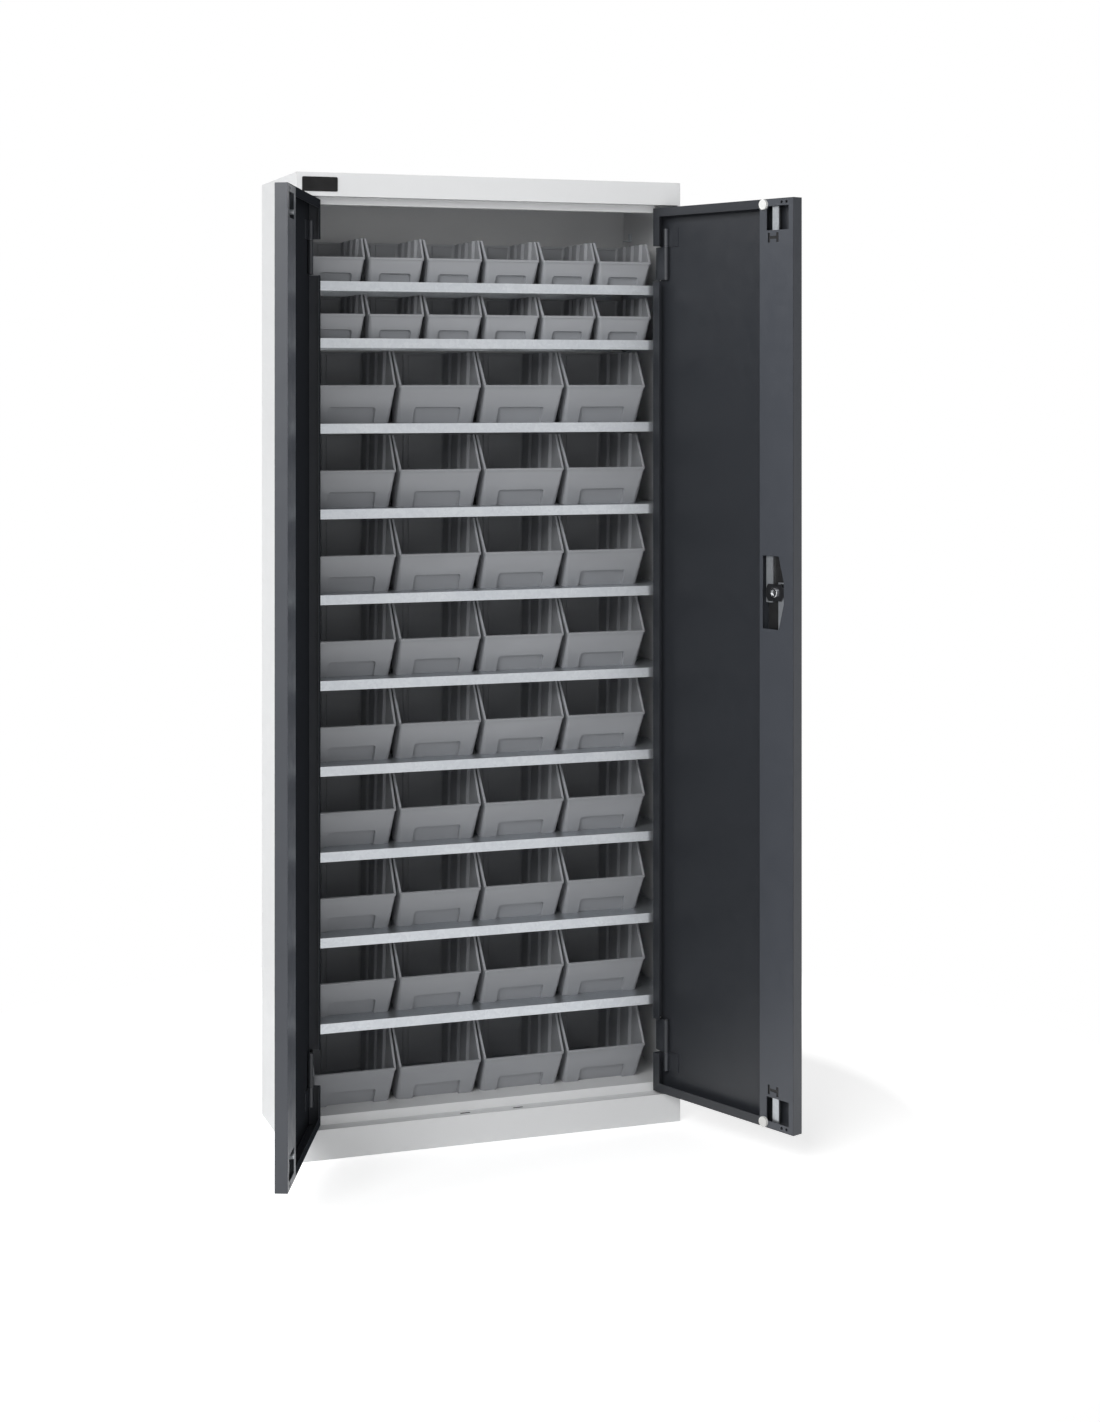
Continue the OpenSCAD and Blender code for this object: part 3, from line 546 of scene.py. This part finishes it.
def row_piece(node, spots):
    """All bins of one CAD node as one piece: spots are (kind, x, y, z) of each lip's middle."""
    bm = bmesh.new()
    for kind, x, y, z in spots:
        start = len(bm.verts)
        bm.from_mesh(BIN_MESH[kind])
        bm.verts.ensure_lookup_table()
        bmesh.ops.translate(bm, vec=(x, y, z), verts=bm.verts[start:])
    mesh = mesh_from("moulded_" + node, bm)
    smooth(mesh, BIN_SHARP)
    piece = add_object("moulded_" + node, mesh)
    flatter = piece.modifiers.new("normals", "WEIGHTED_NORMAL")
    flatter.weight = 100
    flatter.keep_sharp = True
    mesh.materials.append(FINISH["bin_plastic"])
    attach(piece, body_of[node])
    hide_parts(node)


def bins_of(node):
    """The spots of a CAD node's bins, from the node's own box."""
    low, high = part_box(node)
    between = (FORM["large"].height + FORM["small"].height) / 2 * MM
    kind = "large" if high.z - low.z > between else "small"
    pitch = FORM[kind].pitch
    count = round((high.x - low.x + GAP * MM) / (pitch * MM))
    return [(kind, low.x + ((pitch - GAP) / 2 + i * pitch) * MM, low.y + RIM_OUT * MM, low.z)
            for i in range(count)]


ROWS = 11
rows = [bins_of(f"bins_row_{k}") for k in range(1, ROWS + 1)]
for k, spots in enumerate(rows, 1):
    row_piece(f"bins_row_{k}", spots)

# The end bins stand one place outside the others: at the left of each row, and for the small
# ones at the right too
ends = {"small": [], "large": []}
for spots in rows:
    kind, x, y, z = spots[0]
    pitch = FORM[kind].pitch * MM
    ends[kind].append((kind, x - pitch, y, z))
    if kind == "small":
        ends[kind].append((kind, spots[-1][1] + pitch, y, z))
row_piece("small_end_bins", ends["small"])
row_piece("large_end_bins", ends["large"])


# ---- Materials and softened edges of the CAD nodes

SLOT = {part["node"]: part["material_slot"] for part in frame["record"]["subparts"]}
# Door parts given their own copies of the door paint, which hold painted shade or painted light
COAT = {"left_door_skin": "left_skin", "right_door_skin": "right_skin",
        "left_hinge_leaves": "left_skin", "right_hinge_leaves": "right_skin",
        "left_door_stiffener": "left_stiffener", "hinge_brackets": "bracket_paint"}

# The first of these that a node's name holds gives its edges' width
EDGE = {"shelf_clips": 0.3, "door_buffers": 1.6, "shelf": 0.45, "left_door": 0.4,
        "right_door": 0.4, "blank_badge": 0.4, "handle_plate": 1.2, "handle_lever": 2.0,
        "key_cylinder": 0.5}
OTHER_EDGE = 0.3

for name, piece in nodes.items():
    piece.data.materials.clear()
    piece.data.materials.append(FINISH[COAT.get(name, SLOT[name])])
    if not piece.hide_render:
        round_edges(piece, next((w for key, w in EDGE.items() if key in name), OTHER_EDGE))


# ---- Floor, light and camera

# From the cabinet's middle, in metres, the floor keeps its shadows up to NEAR and is plain white
# from FAR on.  Near, a share of it glows strongly, which lifts the paper to white
NEAR, FAR = 0.75, 1.3
NEAR_SHARE, NEAR_GLOW = 0.2, 3.05
FLOOR_R = 30.0


def floor_material():
    """White paper, whose glow only the camera and glossy rays see."""
    m = Material("floor", 0.9)
    m.colour(linear(250, 250, 250))
    ray = m.node("ShaderNodeLightPath")
    seen = m.node("ShaderNodeMath", {0: ray.outputs["Is Camera Ray"],
                                     1: ray.outputs["Is Glossy Ray"]}, operation="MAXIMUM")
    away = m.node("ShaderNodeVectorMath", {0: m.coords}, operation="LENGTH").outputs["Value"]
    share = m.map(away, NEAR, FAR, NEAR_SHARE, 1.0)
    far = m.node("ShaderNodeMath", {0: seen.outputs[0], 1: share}, operation="MULTIPLY")
    glow = m.map(away, NEAR, FAR, NEAR_GLOW, 1.0)
    white = m.node("ShaderNodeEmission", {"Color": WHITE, "Strength": glow})
    both = m.node("ShaderNodeMixShader", {0: far.outputs[0], 1: m.shader.outputs[0],
                                          2: white.outputs[0]})
    m.tree.links.new(both.outputs[0], m.tree.nodes["Material Output"].inputs["Surface"])
    return m.mat


floor = bmesh.new()
bmesh.ops.create_circle(floor, cap_ends=True, radius=FLOOR_R, segments=64)
floor_piece = add_object("floor", mesh_from("floor", floor))
floor_piece.data.materials.append(floor_material())

# A dim white world, which the camera sees as plain white
world = bpy.data.worlds.new("studio")
bpy.context.scene.world = world
world.use_nodes = True
tree = world.node_tree
dim = tree.nodes["Background"]
bright = tree.nodes.new("ShaderNodeBackground")
for shader, strength in ((dim, 0.33), (bright, 1.0)):
    shader.inputs["Color"].default_value = WHITE
    shader.inputs["Strength"].default_value = strength
path = tree.nodes.new("ShaderNodeLightPath")
choose = tree.nodes.new("ShaderNodeMixShader")
tree.links.new(path.outputs["Is Camera Ray"], choose.inputs[0])
tree.links.new(dim.outputs[0], choose.inputs[1])
tree.links.new(bright.outputs[0], choose.inputs[2])
tree.links.new(choose.outputs[0], tree.nodes["World Output"].inputs["Surface"])


def lamp(name, place, aim_z, width, height, watts):
    """A white panel that aims at a height on the cabinet's middle line."""
    data = bpy.data.lights.new(name, "AREA")
    data.shape = "RECTANGLE"
    data.size, data.size_y = width, height
    data.energy = watts
    light = add_object(name, data)
    light.location = place
    aim = Vector((0, 0, aim_z)) - Vector(place)
    light.rotation_euler = aim.to_track_quat("-Z", "Y").to_euler()


lamp("key", (-2.6, -3.2, 3.0), 0.9, 2.4, 2.4, 115)
lamp("side", (-4.2, -0.6, 3.0), 1.0, 2.0, 2.4, 82)
lamp("low", (-1.0, -5.0, 1.0), 0.9, 2.6, 1.6, 18)
lamp("fill", (2.4, -4.2, 1.8), 0.8, 2.5, 2.5, 13)

# A level camera with its picture shifted down, as fitted to the photograph's edges
camera = add_object("camera", bpy.data.cameras.new("camera"))
camera.location = (-1.2053, -3.7998, 1.2788)
camera.rotation_euler = (math.radians(90), 0, math.radians(-19.01))
camera.data.lens = 59.46
camera.data.sensor_fit = "VERTICAL"
camera.data.sensor_height = 36
camera.data.sensor_width = 27.85
camera.data.shift_y = -0.2285
bpy.context.scene.camera = camera
bpy.context.scene.view_settings.view_transform = "Standard"
